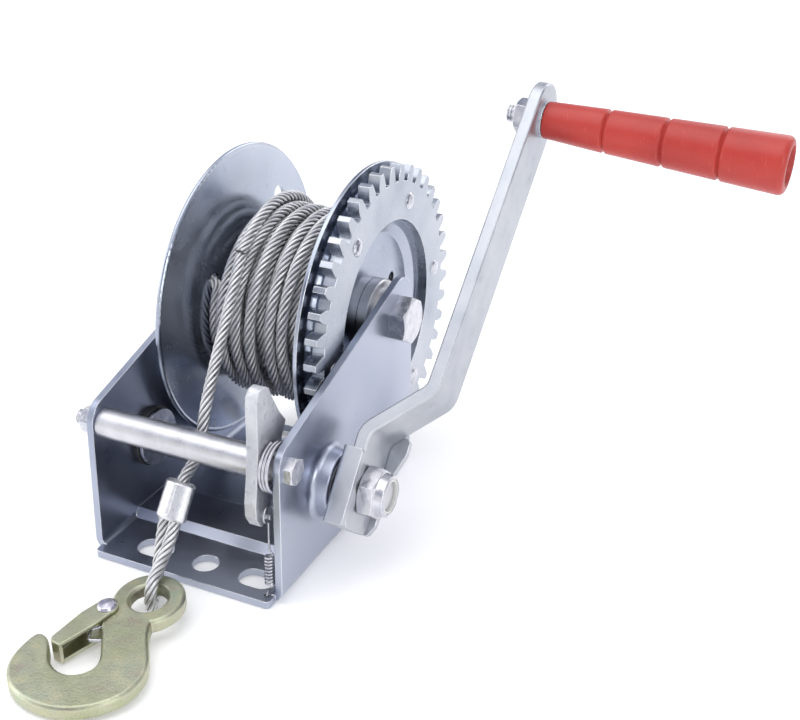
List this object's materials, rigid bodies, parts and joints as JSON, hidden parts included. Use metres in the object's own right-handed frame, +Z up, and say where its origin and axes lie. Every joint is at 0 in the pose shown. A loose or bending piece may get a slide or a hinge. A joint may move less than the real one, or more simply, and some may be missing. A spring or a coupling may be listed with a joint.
{
  "type": "hand-cranked boat trailer winch",
  "caption": "Hand winch for a boat trailer: plated channel frame, flanged rope drum with ring gear, geared crank with a turning grip, ratchet pawl, wire rope with slip hook.",
  "frame": {"origin": "middle of the base's underside: half way across the frame's width, half way along the side plates' depth, on the mounting surface", "axes": "+X along the drum axle towards the crank side, -Y towards the side where the rope leaves, +Z up out of the base"},
  "size_m": [0.2532, 0.2629, 0.1804],
  "materials": {
    "zinc_frame": "bright zinc-plated sheet steel",
    "zinc_flange": "bright zinc-plated pressed sheet",
    "zinc_gear": "zinc-plated stamped gear",
    "zinc_arm": "satin zinc-plated bar with bright cut edges",
    "polished_tube": "satin bright tube",
    "cast_pawl": "grainy plated casting",
    "fastener": "bright zinc-plated fasteners",
    "spring_steel": "plated spring wire",
    "dark_bush": "black moulded bush",
    "nylon": "nylon locking ring",
    "red_grip": "red moulded grip",
    "wire_rope": "galvanised wire rope",
    "ferrule": "pressed aluminium sleeve",
    "yellow_zinc": "olive-gold yellow zinc"
  },
  "bodies": {
    "frame": {"frame_channel": "zinc_frame", "tie_tube": "polished_tube", "tie_bolt": "fastener", "tie_nut": "fastener", "axle_sleeve": "polished_tube", "axle_bolt": "fastener", "axle_nut": "fastener", "left_bush": "dark_bush", "right_bush": "dark_bush", "thrust_spring": "spring_steel", "rope_tail": "wire_rope", "ferrule": "ferrule", "rope_loop": "wire_rope", "slip_hook": "yellow_zinc", "latch_rivet": "fastener", "latch_spring": "spring_steel"},
    "drum": {"drum_barrel": "zinc_flange", "drum_hub_left": "dark_bush", "drum_hub_right": "dark_bush", "left_flange": "zinc_flange", "right_flange": "zinc_flange", "drum_gear": "zinc_gear", "gear_rivets": "fastener", "rope_winding": "wire_rope", "rope_end": "wire_rope", "rope_clamp": "fastener", "clamp_screw": "fastener"},
    "crank": {"crank_shaft": "zinc_arm", "pinion": "zinc_gear", "shaft_washer": "fastener", "shaft_clip": "spring_steel", "crank_seat": "zinc_arm", "crank_arm": "zinc_arm", "crank_nut": "fastener", "nut_insert": "nylon", "grip_bolt": "fastener", "grip_nut": "fastener", "grip_washer": "fastener"},
    "grip": {"hand_grip": "red_grip"},
    "pawl": {"ratchet_pawl": "cast_pawl"},
    "pawl_spring": {"return_spring": "spring_steel", "spring_ends": "spring_steel"},
    "latch": {"hook_latch": "yellow_zinc"}
  },
  "joints": [
    {"name": "drum_spin", "type": "hinge", "parent": "frame", "child": "drum", "pos_m": [0, 0.0455, 0.079], "axis": [1, 0, 0], "continuous": true},
    {"name": "crank_spin", "type": "hinge", "parent": "frame", "child": "crank", "pos_m": [0, -0.0228, 0.03499], "axis": [1, 0, 0], "continuous": true},
    {"name": "grip_spin", "type": "hinge", "parent": "crank", "child": "grip", "pos_m": [0.09303, 0.08486, 0.16513], "axis": [0.9977, -0.0432, -0.0523], "continuous": true},
    {"name": "pawl_rock", "type": "hinge", "parent": "frame", "child": "pawl", "pos_m": [0, -0.0534, 0.0564], "axis": [1, 0, 0], "range_deg": [-18, 0], "stiffness_Nm_per_rad": 0.05, "springref_deg": 17.19},
    {"name": "spring_swing", "type": "hinge", "parent": "frame", "child": "pawl_spring", "pos_m": [0.0378, -0.0612, 0.003], "axis": [1, 0, 0], "range_deg": [0, 10.35]},
    {"name": "latch_pivot", "type": "hinge", "parent": "frame", "child": "latch", "pos_m": [-0.0066, -0.10156, 0.0072], "axis": [0, -0.0802, 0.9968], "range_deg": [0, 28], "stiffness_Nm_per_rad": 0.01, "springref_deg": -17.19}
  ],
  "couplings": [
    {"joint": "crank_spin", "follows": "drum_spin", "ratio": -4},
    {"joint": "spring_swing", "follows": "pawl_rock", "ratio": -0.575}
  ]
}
